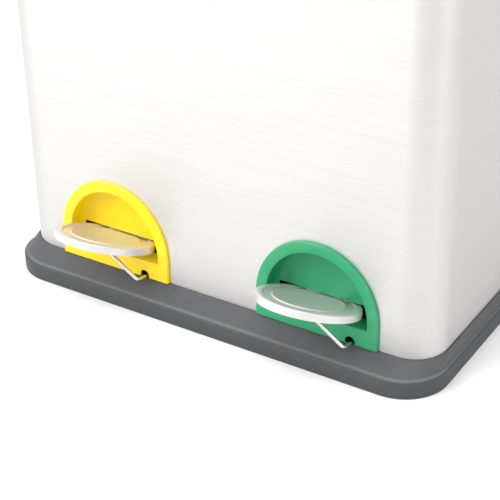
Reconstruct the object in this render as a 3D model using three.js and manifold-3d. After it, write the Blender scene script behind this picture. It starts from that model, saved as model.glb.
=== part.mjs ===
// A double pedal recycling bin: one brushed steel body on a moulded tray, with two lids,
// two lift-out buckets and two coloured pedals. Millimetres, +Z up, front towards -Y.
// The origin is the middle of the tray's flat underside, on the floor.

import * as THREE from 'three';
import { mergeVertices } from 'three/addons/utils/BufferGeometryUtils.js';
import Module from 'manifold-3d';

const wasm = await Module();
wasm.setup();

// ---------------------------------------------------------------- driving sizes

// Body: a steel wrap with four rounded upright corners
const bodyWidth = 402.6;
const bodyDepth = 300;
const bodyTop = 446;
const bodyCornerRadius = 29.5;
const sheetThickness = 1;
const seamWidth = 12;
const seamThickness = 0.8;
const seamEndGap = 2;
const windowFootDrop = 1.6;

// Base tray
const trayFrontOverhang = 22.5;
const traySideOverhang = 7.5;
const trayRearOverhang = 7.5;
const trayCornerRadius = 40.2;
const traySkirtHeight = 14.2;
const trayTop = 24.6;
const trayWall = 2.5;
const trayLedgeThickness = 3.5;
const trayFloorThickness = 3;
const trayCreaseRadius = 1.6;
const trayCreaseLift = 0.56;
const trayFootChamfer = 0.8;
const traySocketDepth = 18.6;
const traySocketLip = 0.6;
const trayUpstandDrop = 4.6;
const trayRibThickness = 1.8;
const trayRibFoot = 1;
const trayRibCount = 9;

// Pedal surround: an arch of coloured plastic in the body's front
const pedalSetInward = 0.65;
const surroundWidth = 112;
const surroundStraight = 21.3;
const surroundRise = 61.6;
const surroundProud = 3.2;
const surroundEdgeRadius = 1.4;
const surroundBand = 9.8;
const surroundWall = 2;
const recessDepth = 12.5;
const recessFillet = 6;
const recessMouthRadius = 1;
const recessFloorHeight = 41;
const slotHalfWidth = 42;
const slotHeight = 14;
const notchOffset = 31.8;
const notchWidth = 9;
const notchHeight = 7;
const hookWidth = 9;
const hookReach = 1.6;
const hookThickness = 2.4;

// Pedal: a pressed steel disc, hinged behind the recess
const pedalRadius = 43.3;
const pedalThickness = 1.2;
const pedalRimHeight = 7;
const pedalEdgeRadius = 1.6;
const pedalRestTilt = 20.4;
const pedalHingeSetback = 20;
const pedalHingeHeight = 46.5;
const pedalReach = 35.9;
const pedalRise = 2.55;
const pedalGrooveOuter = 37.4;
const pedalGrooveInner = 30.6;
const pedalGrooveDepth = 0.9;
const pedalGrooveSlope = 1;
const pedalCentreDepth = 0.5;
const pedalTongueHalfWidth = 22;
const pedalTongueStart = 6.6;
const pedalTongueLap = 3;
const pedalBarrelRadius = 3.3;
const pinRadius = 1.6;
const pedalEarThickness = 4;
const pedalEarWall = 3.4;
const pedalEarChamfer = 2.5;
const pedalEarShoulder = 4;
const pedalEarRise = 12;

// Crank: a bent wire that turns along the floor of the tray
const wireRadius = 1.7;
const wireBend = 4.5;
const crankOffset = 33;
const crankHeight = 26.8;
const crankElbowProud = 14;
const crankTipSetForward = 10;
const crankTipLength = 9;
const crankArmDrop = 12.5;
const crankRearTipLength = 14;
const saddleWidth = 12;
const saddleLength = 10;
const saddleCap = 3.4;
const saddleFlange = 9;
const saddleFlangeThickness = 2.4;
const saddleFrontSetback = 44;
const saddleRearInset = 74;

// Push rod: stands behind the bucket and lifts the lid by its lug
const rodRadius = 2;
const rodInset = 35.1;
const rodSetForward = 8.6;
const rodEyeThickness = 4;
const rodEyeWall = 2.6;
const rodEyeSlack = 2;
const rodGuideHeight = 240;
const rodGuideThickness = 8;
const rodGuideWall = 2.6;

// Inner deck: the false floor that the buckets stand on
const deckHeight = 72;
const deckThickness = 2.5;
const deckLegRadius = 8;
const deckLegSideInset = 29.5;
const deckLegSetback = 59;
const deckRimHeight = 9;
const deckRimThickness = 2;

// Top frame
const frameFlangeThickness = 2.4;
const frameFlangeDrop = 12;
const frameSkirtDrop = 24;
const frameTopThickness = 4;
const frameEdgeRadius = 1.6;
const frameSideWidth = 8;
const frameFrontWidth = 10;
const frameRearWidth = 42;
const frameCentreWidth = 15;
const frameWellRadius = 27;
const frameShell = 3;

// Lid hinges
const hingeInset = 16;
const hingeRise = 7;
const hingeSideInset = 55.65;
const knuckleWidth = 12;
const knuckleRadius = 5;
const earThickness = 4;
const earRadius = 5;
const earBrace = 3;

// Lids
const lidSideOverhang = 1.8;
const lidFrontOverhang = 4;
const lidHingeGap = 8;
const lidSplit = 1.6;
const lidSkirtHeight = 13;
const lidCrown = 4.6;
const lidShell = 2.2;
const lidCornerRadius = 31;
const lidInnerCornerRadius = 7;
const lidEdgeRadius = 3;
const lidBorder = 7;
const lidBorderRise = 0.6;
const lidPlateThickness = 0.9;
const lidRestGap = 0.6;
const lugWidth = 10;
const lugAngle = 40;
const lugReach = 5;
const lugRoot = 5;
const lugTop = 1;
const lugMouthSetback = 2;

// Buckets
const bucketWall = 2;
const bucketFloorThickness = 2.5;
const bucketTaperWidth = 13;
const bucketTaperDepth = 22;
const bucketCornerRadius = 25;
const bucketFootRadius = 21;
const bucketFootInset = 3;
const bucketFootRise = 5;
const bucketLip = 3;
const bucketLipThickness = 2.4;
const bucketLipDrop = 4;
const bucketLipEdge = 0.8;

// Clearances
const seatGap = 0.3;
const bushGap = 0.3;
const slideGap = 0.5;
const drawGap = 1;
const crankTipGap = 0.9;
const rodTopGap = 0.6;

// How far a rib, ear or hook runs into its wall, and a cutter past what it cuts
const fuse = 1;
const overcut = 1;

// Facets
const cornerSteps = 5;
const archSteps = 18;
const discSteps = 40;
const boreSteps = 12;
const wireSides = 8;
const bendSteps = 4;
const edgeSteps = 2;
const lidEdgeSteps = 3;
const crownShares = [0, 0.2, 0.5, 0.8];
const leastRadius = 0.4;

// ---------------------------------------------------------------- derived places

const frontY = -bodyDepth / 2;
const rearY = bodyDepth / 2;
const frameTop = bodyTop + frameTopThickness;
const hingeY = rearY - hingeInset;
const hingeZ = frameTop + hingeRise;
const sides = { left: -1, right: 1 };
const degree = Math.PI / 180;

// The pedals stand just inward of the middle of each half of the body
function pedalX(side) {
  return sides[side] * (bodyWidth / 4 - pedalSetInward);
}

// ---------------------------------------------------------------- solids

// A closed three.js geometry as a solid that can be joined and cut
function solid(geometry) {
  const bare = geometry.clone();
  bare.deleteAttribute('normal');
  bare.deleteAttribute('uv');
  const merged = mergeVertices(bare, 1e-4);
  const corners = merged.index.array;
  const triangles = [];
  for (let i = 0; i < corners.length; i += 3) {
    const [a, b, c] = [corners[i], corners[i + 1], corners[i + 2]];
    if (a !== b && b !== c && c !== a) triangles.push(a, b, c);
  }
  const vertProperties = Float32Array.from(merged.attributes.position.array);
  const build = (order) => new wasm.Manifold(new wasm.Mesh({
    numProp: 3, vertProperties, triVerts: Uint32Array.from(order),
  }));
  const body = build(triangles);
  return body.volume() > 0 ? body : build(triangles.reverse());
}

function join(first, ...others) {
  return others.reduce((whole, piece) => whole.add(piece), first);
}

function cut(first, ...tools) {
  return tools.reduce((whole, tool) => whole.subtract(tool), first);
}

// Rings of points, each with as many points, skinned into one closed geometry
function loft(rings) {
  const count = rings[0].length;
  const positions = rings.flat().flatMap((point) => point.toArray());
  const index = [];
  for (let ring = 0; ring < rings.length - 1; ring += 1) {
    for (let i = 0; i < count; i += 1) {
      const a = ring * count + i;
      const b = ring * count + (i + 1) % count;
      index.push(a, b, b + count, a, b + count, a + count);
    }
  }
  const caps = [[rings[0], 0, true], [rings.at(-1), (rings.length - 1) * count, false]];
  for (const [ring, start, flipped] of caps) {
    const middle = ring.reduce((sum, point) => sum.add(point), new THREE.Vector3());
    const centre = positions.length / 3;
    positions.push(...middle.divideScalar(count).toArray());
    for (let i = 0; i < count; i += 1) {
      const [a, b] = [start + i, start + (i + 1) % count];
      index.push(centre, flipped ? b : a, flipped ? a : b);
    }
  }
  const geometry = new THREE.BufferGeometry();
  geometry.setAttribute('position', new THREE.Float32BufferAttribute(positions, 3));
  geometry.setIndex(index);
  return geometry;
}

// A rectangle {x0, x1, y0, y1} drawn in by inset on every side
function shrink(box, inset) {
  return {
    x0: box.x0 + inset, x1: box.x1 - inset, y0: box.y0 + inset, y1: box.y1 - inset,
  };
}

// Points round a rectangle with rounded corners at height z, anticlockwise from the rear right;
// radii run rear right, rear left, front left, front right
function planRing(box, radii, z) {
  const reach = Array.isArray(radii) ? radii : [radii, radii, radii, radii];
  const [rr, rl, fl, fr] = reach.map((radius) => Math.max(radius, leastRadius));
  const centres = [
    [box.x1 - rr, box.y1 - rr, rr], [box.x0 + rl, box.y1 - rl, rl],
    [box.x0 + fl, box.y0 + fl, fl], [box.x1 - fr, box.y0 + fr, fr],
  ];
  return centres.flatMap(([x, y, radius], corner) => (
    Array.from({ length: cornerSteps + 1 }, (_, step) => {
      const angle = (corner + step / cornerSteps) * 90 * degree;
      return new THREE.Vector3(x + radius * Math.cos(angle), y + radius * Math.sin(angle), z);
    })
  ));
}

// Rings round an edge, from its side over to its face; ring draws one from how far in it is
// and how far below the face
function roundedEdge(radius, steps, ring) {
  return Array.from({ length: steps + 1 }, (_, step) => {
    const angle = step / steps * 90 * degree;
    return ring(radius * (1 - Math.cos(angle)), radius * (1 - Math.sin(angle)));
  });
}

function prism(box, radii, z0, z1) {
  return solid(loft([planRing(box, radii, z0), planRing(box, radii, z1)]));
}

function block(x0, x1, y0, y1, z0, z1) {
  const geometry = new THREE.BoxGeometry(x1 - x0, y1 - y0, z1 - z0);
  geometry.translate((x0 + x1) / 2, (y0 + y1) / 2, (z0 + z1) / 2);
  return solid(geometry);
}

// A round bar of a radius between two points
function bar(from, to, radius, steps = boreSteps) {
  const axis = to.clone().sub(from);
  const geometry = new THREE.CylinderGeometry(radius, radius, axis.length(), steps);
  const up = new THREE.Vector3(0, 1, 0);
  geometry.applyQuaternion(new THREE.Quaternion().setFromUnitVectors(up, axis.normalize()));
  const middle = from.clone().add(to).divideScalar(2);
  geometry.translate(middle.x, middle.y, middle.z);
  return solid(geometry);
}

const point = (x, y, z) => new THREE.Vector3(x, y, z);

// An outline in the YZ plane, given as [y, z] pairs, drawn out along X
function slab(outline, x0, x1) {
  const shape = new THREE.Shape(outline.map(([y, z]) => new THREE.Vector2(y, z)));
  const geometry = new THREE.ExtrudeGeometry(shape, { depth: x1 - x0, bevelEnabled: false });
  geometry.applyMatrix4(new THREE.Matrix4().set(
    0, 0, 1, x0,
    1, 0, 0, 0,
    0, 1, 0, 0,
    0, 0, 0, 1,
  ));
  return solid(geometry);
}

// A wire through corner points, each corner rounded to the bend radius
function wire(corners, radius, bend) {
  const stations = [corners[0]];
  for (let i = 1; i < corners.length - 1; i += 1) {
    const toward = corners[i - 1].clone().sub(corners[i]);
    const away = corners[i + 1].clone().sub(corners[i]);
    const turn = Math.PI - toward.angleTo(away);
    const trim = Math.min(bend * Math.tan(turn / 2), toward.length() / 2, away.length() / 2);
    const start = corners[i].clone().addScaledVector(toward.normalize(), trim);
    const end = corners[i].clone().addScaledVector(away.normalize(), trim);
    const arc = new THREE.QuadraticBezierCurve3(start, corners[i], end);
    stations.push(...arc.getPoints(bendSteps));
  }
  stations.push(corners.at(-1));
  const tangents = stations.map((_, i) => {
    const before = stations[Math.max(i - 1, 0)];
    const after = stations[Math.min(i + 1, stations.length - 1)];
    return after.clone().sub(before).normalize();
  });
  const helper = Math.abs(tangents[0].z) < 0.9 ? point(0, 0, 1) : point(1, 0, 0);
  const across = helper.clone().cross(tangents[0]).normalize();
  const rings = stations.map((station, i) => {
    across.addScaledVector(tangents[i], -across.dot(tangents[i])).normalize();
    const upward = tangents[i].clone().cross(across);
    return Array.from({ length: wireSides }, (_, side) => {
      const angle = side / wireSides * 2 * Math.PI;
      return station.clone()
        .addScaledVector(across, radius * Math.cos(angle))
        .addScaledVector(upward, radius * Math.sin(angle));
    });
  });
  return solid(loft(rings));
}

// ---------------------------------------------------------------- the model

const model = new THREE.Group();
model.position.y = (trayFrontOverhang - trayRearOverhang) / 2;

const finishes = {
  brushedSteel: { color: 0xdcdcda, roughness: 0.38, metalness: 0.9 },
  polishedSteel: { color: 0xc9cac6, roughness: 0.25, metalness: 1 },
  springWire: { color: 0xd5d5d2, roughness: 0.2, metalness: 1 },
  blackPlastic: { color: 0x26282a, roughness: 0.55, metalness: 0 },
  greyPlastic: { color: 0x54575b, roughness: 0.6, metalness: 0 },
  bucketPlastic: { color: 0x33363a, roughness: 0.6, metalness: 0 },
  left: { color: 0xffe62e, roughness: 0.45, metalness: 0 },
  right: { color: 0x3fae72, roughness: 0.45, metalness: 0 },
};

function add(name, body, finish) {
  const mesh = body.getMesh();
  const geometry = new THREE.BufferGeometry();
  const position = new THREE.BufferAttribute(Float32Array.from(mesh.vertProperties), 3);
  geometry.setAttribute('position', position);
  geometry.setIndex(Array.from(mesh.triVerts));
  const material = new THREE.MeshStandardMaterial({ ...finishes[finish], flatShading: true });
  const node = new THREE.Mesh(geometry, material);
  node.name = name;
  model.add(node);
  return node;
}

const bodyBox = { x0: -bodyWidth / 2, x1: bodyWidth / 2, y0: frontY, y1: rearY };
const trayBox = {
  x0: bodyBox.x0 - traySideOverhang,
  x1: bodyBox.x1 + traySideOverhang,
  y0: bodyBox.y0 - trayFrontOverhang,
  y1: bodyBox.y1 + trayRearOverhang,
};

// The body's outline drawn in by inset; a negative inset goes outside it
function bodyRing(inset, z) {
  return planRing(shrink(bodyBox, inset), bodyCornerRadius - inset, z);
}

function trayRing(inset, z) {
  return planRing(shrink(trayBox, inset), trayCornerRadius - inset, z);
}

function bodyPrism(inset, z0, z1) {
  return solid(loft([bodyRing(inset, z0), bodyRing(inset, z1)]));
}

// ---------------------------------------------------------------- base tray

const wrapFoot = trayTop - traySocketDepth + seatGap;
const socketInset = sheetThickness + seatGap;
const upstandTop = trayTop - trayUpstandDrop;

function makeTray() {
  const creaseTop = traySkirtHeight + trayCreaseLift;
  const outside = solid(loft([
    trayRing(trayFootChamfer, 0),
    trayRing(0, trayFootChamfer),
    ...roundedEdge(trayCreaseRadius, edgeSteps, (inset, drop) => (
      trayRing(inset, creaseTop - drop)
    )),
    bodyRing(-seatGap - traySocketLip, trayTop),
    bodyRing(-seatGap, trayTop),
  ]));
  const inside = bodyPrism(socketInset + trayWall, trayFloorThickness, trayTop + overcut);
  const socket = cut(
    bodyPrism(-seatGap, wrapFoot - seatGap, trayTop + overcut),
    bodyPrism(socketInset, 0, upstandTop),
  );
  const socketWall = -seatGap - trayWall;
  const channel = cut(
    solid(loft([
      trayRing(trayWall, -overcut),
      trayRing(trayWall, traySkirtHeight - trayWall),
      bodyRing(socketWall + overcut, trayTop - trayLedgeThickness),
    ])),
    bodyPrism(socketWall, -2 * overcut, trayTop),
  );
  const tray = cut(outside, inside, socket, channel);
  const ribPitch = (bodyWidth - 2 * bodyCornerRadius) / (trayRibCount - 1);
  const ribs = Array.from({ length: trayRibCount }, (_, i) => {
    const x = -bodyWidth / 2 + bodyCornerRadius + i * ribPitch;
    const half = trayRibThickness / 2;
    return block(x - half, x + half, trayBox.y0 + fuse, frontY - seatGap - fuse,
      trayRibFoot, trayTop);
  });
  const ribbed = ribs.map((rib) => rib.intersect(outside));
  add('base_tray', join(tray, ...ribbed), 'greyPlastic');
}

// ---------------------------------------------------------------- pedal surround

// Points round the surround's arch drawn in by inset, seen from the front, at depth y
function archRing(centreX, inset, y, bottom) {
  const halfWidth = surroundWidth / 2 - inset;
  const spring = trayTop + surroundStraight;
  const rise = surroundRise - inset;
  const crown = Array.from({ length: archSteps + 1 }, (_, step) => {
    const angle = step / archSteps * Math.PI;
    return point(
      centreX + halfWidth * Math.cos(angle),
      y,
      spring + rise * Math.sin(angle),
    );
  });
  return [point(centreX - halfWidth, y, bottom), point(centreX + halfWidth, y, bottom), ...crown];
}

const surroundFoot = trayTop + seatGap;
const pocketInset = surroundBand - surroundWall;
const cutOutInset = pocketInset - slideGap;
const cutOutFoot = trayTop - windowFootDrop;
const plateFace = frontY - surroundProud;
const slotTop = recessFloorHeight + slotHeight;
const pedalPinY = frontY + pedalHingeSetback;
const pedalEarBack = pedalPinY + pinRadius + pedalEarWall;

// The recess from its back wall to its mouth; grown by a wall it is the pocket's outside
function recessRings(x, grow, mouth) {
  const rings = [];
  const bottom = recessFloorHeight - grow;
  for (let step = 0; step <= bendSteps; step += 1) {
    const angle = step / bendSteps * 90 * degree;
    const inset = surroundBand - grow + recessFillet * (1 - Math.sin(angle));
    const depth = recessDepth + grow - recessFillet * (1 - Math.cos(angle));
    rings.push(archRing(x, inset, frontY + depth, bottom));
  }
  rings.push(...mouth.map(([inset, y]) => archRing(x, inset, y, bottom)));
  return rings;
}

function makeSurround(side) {
  const x = pedalX(side);
  const plate = solid(loft([
    archRing(x, 0, frontY - seatGap, surroundFoot),
    ...roundedEdge(surroundEdgeRadius, edgeSteps, (inset, drop) => (
      archRing(x, inset, plateFace + drop, surroundFoot)
    )),
  ]));
  const pocket = solid(loft(recessRings(x, surroundWall, [
    [pocketInset, frontY - seatGap - fuse],
  ])));
  const recess = solid(loft(recessRings(x, 0, [
    ...roundedEdge(recessMouthRadius, edgeSteps, (inset, drop) => (
      [surroundBand - inset, plateFace + drop]
    )),
    [surroundBand - recessMouthRadius, plateFace - overcut],
  ])));
  const slot = block(
    x - slotHalfWidth, x + slotHalfWidth,
    frontY + recessDepth - recessFillet, frontY + recessDepth + surroundWall + overcut,
    recessFloorHeight, slotTop,
  );
  const notchX = x + notchOffset;
  const notchRadius = notchWidth / 2;
  const notchTop = trayTop + notchHeight;
  const notch = join(
    bar(point(notchX, plateFace - overcut, notchTop - notchRadius),
      point(notchX, frontY + overcut, notchTop - notchRadius), notchRadius),
    block(notchX - notchRadius, notchX + notchRadius, plateFace - overcut, frontY + overcut,
      trayTop - overcut, notchTop - notchRadius),
  );
  const hooks = makeHooks(x);
  const ears = makePedalEars(x);
  const bore = bar(point(x - surroundWidth, pedalPinY, pedalHingeHeight),
    point(x + surroundWidth, pedalPinY, pedalHingeHeight), pinRadius + bushGap);
  const shell = join(plate, pocket, ...hooks);
  add(`pedal_surround_${side}`, cut(join(cut(shell, recess, slot), ...ears), notch, bore), side);
}

// Snap hooks behind the steel: one at each side and one at the crown
function makeHooks(x) {
  const y0 = frontY + sheetThickness + seatGap;
  const y1 = y0 + hookThickness;
  const outer = surroundWidth / 2 - cutOutInset + hookReach;
  const inner = surroundWidth / 2 - pocketInset - fuse;
  const z = trayTop + surroundStraight;
  const crown = z + surroundRise - cutOutInset + hookReach;
  return [
    block(x - outer, x - inner, y0, y1, z - hookWidth / 2, z + hookWidth / 2),
    block(x + inner, x + outer, y0, y1, z - hookWidth / 2, z + hookWidth / 2),
    block(x - hookWidth / 2, x + hookWidth / 2, y0, y1,
      z + surroundRise - pocketInset - fuse, crown),
  ];
}

// Two hanging ears behind the slot, which carry the pedal's hinge pin
function makePedalEars(x) {
  const wallBack = frontY + recessDepth + surroundWall;
  const clear = wallBack + drawGap;
  const low = pedalHingeHeight - pinRadius - pedalEarWall;
  const over = slotTop + drawGap;
  const chamfer = pedalEarChamfer;
  const inner = pedalTongueHalfWidth + drawGap;
  return [-1, 1].map((hand) => {
    const edges = [x + hand * inner, x + hand * (inner + pedalEarThickness)];
    return slab([
      [wallBack - fuse, over], [clear, over], [clear, low + chamfer], [clear + chamfer, low],
      [pedalEarBack - chamfer, low], [pedalEarBack, low + chamfer],
      [pedalEarBack, slotTop + pedalEarShoulder], [wallBack - fuse, slotTop + pedalEarRise],
    ], Math.min(...edges), Math.max(...edges));
  });
}

// ---------------------------------------------------------------- body wrap

function makeWrap() {
  const outer = bodyPrism(0, wrapFoot, bodyTop);
  const inner = bodyPrism(sheetThickness, wrapFoot - overcut, bodyTop + overcut);
  const windows = Object.keys(sides).map((side) => solid(loft([
    archRing(pedalX(side), cutOutInset, frontY + sheetThickness + overcut, cutOutFoot),
    archRing(pedalX(side), cutOutInset, frontY - overcut, cutOutFoot),
  ])));
  const seam = block(-seamWidth / 2, seamWidth / 2, rearY - sheetThickness / 2,
    rearY + seamThickness, trayTop + seamEndGap, bodyTop - frameFlangeDrop - seamEndGap);
  add('body_wrap', cut(join(cut(outer, inner), seam), ...windows), 'brushedSteel');
}

// ---------------------------------------------------------------- pedal, pin

// Half profile of the pressed disc: [radius, height], top surface level at 0
function discProfile() {
  const face = [
    [0, -pedalCentreDepth],
    [pedalGrooveInner - pedalGrooveSlope, -pedalCentreDepth],
    [pedalGrooveInner, -pedalGrooveDepth],
    [pedalGrooveOuter - pedalGrooveSlope, -pedalGrooveDepth],
    [pedalGrooveOuter, 0],
  ];
  const under = face.map(([radius, height]) => [radius, height - pedalThickness]);
  const edge = roundedEdge(pedalEdgeRadius, edgeSteps, (inset, drop) => (
    [pedalRadius - inset, -drop]
  ));
  const rim = [
    [pedalRadius, -pedalRimHeight],
    [pedalRadius - pedalThickness, -pedalRimHeight],
    [pedalRadius - pedalThickness, -pedalEdgeRadius],
    [pedalRadius - pedalEdgeRadius, -pedalThickness],
  ];
  return [...face, ...edge.reverse(), ...rim, ...under.reverse()];
}

function makePedal(side) {
  const x = pedalX(side);
  const profile = discProfile().map(([radius, height]) => new THREE.Vector2(radius, height));
  const disc = new THREE.LatheGeometry(profile, discSteps);
  disc.rotateX(90 * degree);
  disc.translate(0, -pedalReach, pedalRise);
  const wide = pedalRadius + overcut;
  const rearCut = block(-wide, wide, -pedalTongueStart, wide, -wide, wide);
  const tongue = block(-pedalTongueHalfWidth, pedalTongueHalfWidth,
    -pedalTongueStart - pedalTongueLap, 0, pedalRise - pedalThickness, pedalRise);
  const barrel = bar(point(-pedalTongueHalfWidth, 0, 0), point(pedalTongueHalfWidth, 0, 0),
    pedalBarrelRadius);
  const eye = bar(point(-wide, 0, 0), point(wide, 0, 0), pinRadius + bushGap);
  const node = add(`pedal_disc_${side}`,
    cut(join(cut(solid(disc), rearCut), tongue, barrel), eye), 'polishedSteel');
  node.position.set(x, pedalPinY, pedalHingeHeight);
  node.rotation.x = -pedalRestTilt * degree;

  const half = pedalTongueHalfWidth + drawGap + pedalEarThickness;
  add(`pedal_pin_${side}`, bar(point(x - half, pedalPinY, pedalHingeHeight),
    point(x + half, pedalPinY, pedalHingeHeight), pinRadius), 'springWire');
}

// ---------------------------------------------------------------- crank

const crankTipY = frontY - crankElbowProud - crankTipSetForward;
const rodY = hingeY - rodSetForward;
const crankLegY = rodY - crankRearTipLength / 2;

// Height of the wire's tip, just under the resting pedal where the tip starts
function crankTipHeight() {
  const forward = pedalPinY - crankTipY;
  const tilt = pedalRestTilt * degree;
  const lowest = (pedalRise - pedalCentreDepth - pedalThickness) / Math.cos(tilt);
  const underside = pedalHingeHeight + lowest + forward * Math.tan(tilt);
  return underside - (wireRadius + crankTipGap) / Math.cos(tilt);
}

const armRun = bodyWidth / 2 - rodInset - pedalX('right') - crankOffset;
const armDrop = armRun * Math.tan(crankArmDrop * degree);

function makeCrank(side) {
  const centreX = pedalX(side);
  const axisX = centreX + crankOffset;
  const tipZ = crankTipHeight();
  const rearZ = crankHeight - armDrop;
  add(`crank_wire_${side}`, wire([
    point(centreX, crankTipY - crankTipLength, tipZ),
    point(centreX, crankTipY, tipZ),
    point(axisX, frontY - crankElbowProud, crankHeight),
    point(axisX, crankLegY, crankHeight),
    point(axisX + armRun, crankLegY, rearZ),
    point(axisX + armRun, crankLegY + crankRearTipLength, rearZ),
  ], wireRadius, wireBend), 'springWire');

  makeSaddle(`crank_saddle_front_${side}`, axisX, frontY + saddleFrontSetback);
  makeSaddle(`crank_saddle_rear_${side}`, axisX, rearY - saddleRearInset);
}

// A moulded saddle on the tray's floor, with a round eye for the wire
function makeSaddle(name, x, y) {
  const foot = trayFloorThickness + seatGap;
  const half = saddleWidth / 2;
  const shape = new THREE.Shape();
  shape.moveTo(-half - saddleFlange, foot);
  shape.lineTo(half + saddleFlange, foot);
  shape.lineTo(half + saddleFlange, foot + saddleFlangeThickness);
  shape.lineTo(half, foot + saddleFlangeThickness);
  const crown = wireRadius + bushGap + saddleCap;
  shape.lineTo(crown, crankHeight);
  shape.absarc(0, crankHeight, crown, 0, Math.PI, false);
  shape.lineTo(-half, foot + saddleFlangeThickness);
  shape.lineTo(-half - saddleFlange, foot + saddleFlangeThickness);
  const geometry = new THREE.ExtrudeGeometry(shape, {
    depth: saddleLength, bevelEnabled: false, curveSegments: boreSteps / 2,
  });
  geometry.rotateX(90 * degree);
  geometry.translate(x, y + saddleLength / 2, 0);
  const eye = bar(point(x, y - saddleLength, crankHeight), point(x, y + saddleLength, crankHeight),
    wireRadius + bushGap);
  add(name, cut(solid(geometry), eye), 'blackPlastic');
}

// ---------------------------------------------------------------- push rod and guides

// Height of the rod's round end, its gap below the sloping lug of the shut lid
function rodTopCentre() {
  const slope = lugAngle * degree;
  return hingeZ - rodSetForward * Math.tan(slope) - (rodRadius + rodTopGap) / Math.cos(slope);
}

function rodX(side) {
  return pedalX(side) + crankOffset + armRun;
}

function makeRod(side) {
  const x = rodX(side);
  const eyeZ = crankHeight - armDrop;
  const topZ = rodTopCentre();
  const innerX = wireRadius + rodEyeSlack;
  const innerZ = wireRadius + slideGap;
  const eyeBox = {
    x0: -innerX - rodEyeWall, x1: innerX + rodEyeWall,
    y0: -innerZ - rodEyeWall, y1: innerZ + rodEyeWall,
  };
  const upright = (box, radius, half) => {
    const ring = loft([planRing(box, radius, -half), planRing(box, radius, half)]);
    ring.rotateX(90 * degree);
    ring.translate(x, rodY, eyeZ);
    return solid(ring);
  };
  const eye = cut(
    upright(eyeBox, innerZ + rodEyeWall, rodEyeThickness / 2),
    upright(shrink(eyeBox, rodEyeWall), innerZ, rodEyeThickness),
  );
  const ball = new THREE.SphereGeometry(rodRadius, boreSteps, boreSteps / 2);
  ball.rotateX(90 * degree);
  ball.translate(x, rodY, topZ);
  const stem = bar(point(x, rodY, eyeZ + innerZ + rodEyeWall / 2), point(x, rodY, topZ), rodRadius);
  add(`push_rod_${side}`, join(stem, solid(ball), eye), 'springWire');
}

// A clip on the rear sheet that keeps the rod upright
function makeRodGuide(side) {
  const x = rodX(side);
  const wall = rearY - sheetThickness - seatGap;
  const eyeRadius = rodRadius + slideGap + rodGuideWall;
  const z0 = rodGuideHeight;
  const z1 = rodGuideHeight + rodGuideThickness;
  const plate = block(x - eyeRadius - 2 * rodGuideWall, x + eyeRadius, wall - rodGuideWall, wall,
    z0 - rodGuideThickness, z1 + rodGuideThickness);
  const web = block(x - rodGuideWall / 2, x + rodGuideWall / 2, rodY + eyeRadius - fuse,
    wall - rodGuideWall / 2, z0, z1);
  const eye = bar(point(x, rodY, z0), point(x, rodY, z1), eyeRadius);
  const bore = bar(point(x, rodY, z0 - overcut), point(x, rodY, z1 + overcut),
    rodRadius + slideGap);
  add(`rod_guide_${side}`, cut(join(plate, web, eye), bore), 'blackPlastic');
}

// ---------------------------------------------------------------- inner deck

function makeDeck() {
  const edge = socketInset + seatGap;
  const top = bodyPrism(edge, deckHeight - deckThickness, deckHeight);
  const rim = cut(
    bodyPrism(edge, deckHeight - deckThickness, deckHeight + deckRimHeight),
    bodyPrism(edge + deckRimThickness, deckHeight - fuse, deckHeight + deckRimHeight + overcut),
  );
  const bays = Object.keys(sides).map((side) => {
    const half = surroundWidth / 2 - cutOutInset + hookReach + drawGap;
    return block(pedalX(side) - half, pedalX(side) + half, frontY, pedalEarBack + drawGap,
      deckHeight - deckThickness - overcut, deckHeight + deckRimHeight + overcut);
  });
  const bores = Object.keys(sides).map((side) => (
    bar(point(rodX(side), rodY, 0), point(rodX(side), rodY, deckHeight + overcut),
      rodRadius + slideGap)
  ));
  const legs = [-1, 0, 1].flatMap((column) => [-1, 1].map((row) => {
    const x = column * (bodyWidth / 2 - deckLegSideInset);
    const y = row * (bodyDepth / 2 - deckLegSetback);
    return bar(point(x, y, trayFloorThickness + seatGap), point(x, y, deckHeight - fuse),
      deckLegRadius);
  }));
  add('inner_deck', cut(join(top, rim, ...legs), ...bays, ...bores), 'blackPlastic');
}

// ---------------------------------------------------------------- top frame

// The well that a bucket hangs in
function wellBox(side) {
  const inner = frameCentreWidth / 2;
  const outer = bodyWidth / 2 - frameSideWidth;
  const [x0, x1] = sides[side] < 0 ? [-outer, -inner] : [inner, outer];
  return { x0, x1, y0: frontY + frameFrontWidth, y1: rearY - frameRearWidth };
}

function makeTopFrame() {
  const flangeInset = -seatGap - frameFlangeThickness;
  const flangeFoot = bodyTop - frameFlangeDrop;
  const skirtFoot = bodyTop - frameSkirtDrop;
  const flange = solid(loft([
    bodyRing(flangeInset, flangeFoot),
    ...roundedEdge(frameEdgeRadius, edgeSteps, (inset, drop) => (
      bodyRing(flangeInset + inset, frameTop - drop)
    )),
  ]));
  const skirt = bodyPrism(socketInset, skirtFoot, flangeFoot + fuse);
  const groove = cut(
    bodyPrism(-seatGap, flangeFoot - overcut, bodyTop + seatGap),
    bodyPrism(socketInset, 0, frameTop),
  );
  const wells = Object.keys(sides).map((side) => (
    prism(wellBox(side), frameWellRadius, skirtFoot - overcut, frameTop + overcut)
  ));
  const hollows = Object.keys(sides).map((side) => {
    const well = wellBox(side);
    return block(well.x0 + frameShell, well.x1 - frameShell, well.y1 + frameShell,
      rearY - socketInset - frameShell, skirtFoot - overcut, frameTop - frameShell);
  });
  const bosses = Object.keys(sides).map(makeRodBoss);
  const mouths = Object.keys(sides).flatMap(makeLugMouth);
  const ears = Object.keys(sides).flatMap(makeLidEars);
  const rim = cut(join(flange, skirt), groove, ...wells, ...hollows);
  const bored = cut(join(rim, ...bosses), ...mouths);
  const pinBore = bar(point(-bodyWidth, hingeY, hingeZ), point(bodyWidth, hingeY, hingeZ),
    pinRadius + bushGap);
  add('top_frame', join(bored, ...ears.map((ear) => cut(ear, pinBore))), 'blackPlastic');
}

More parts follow.
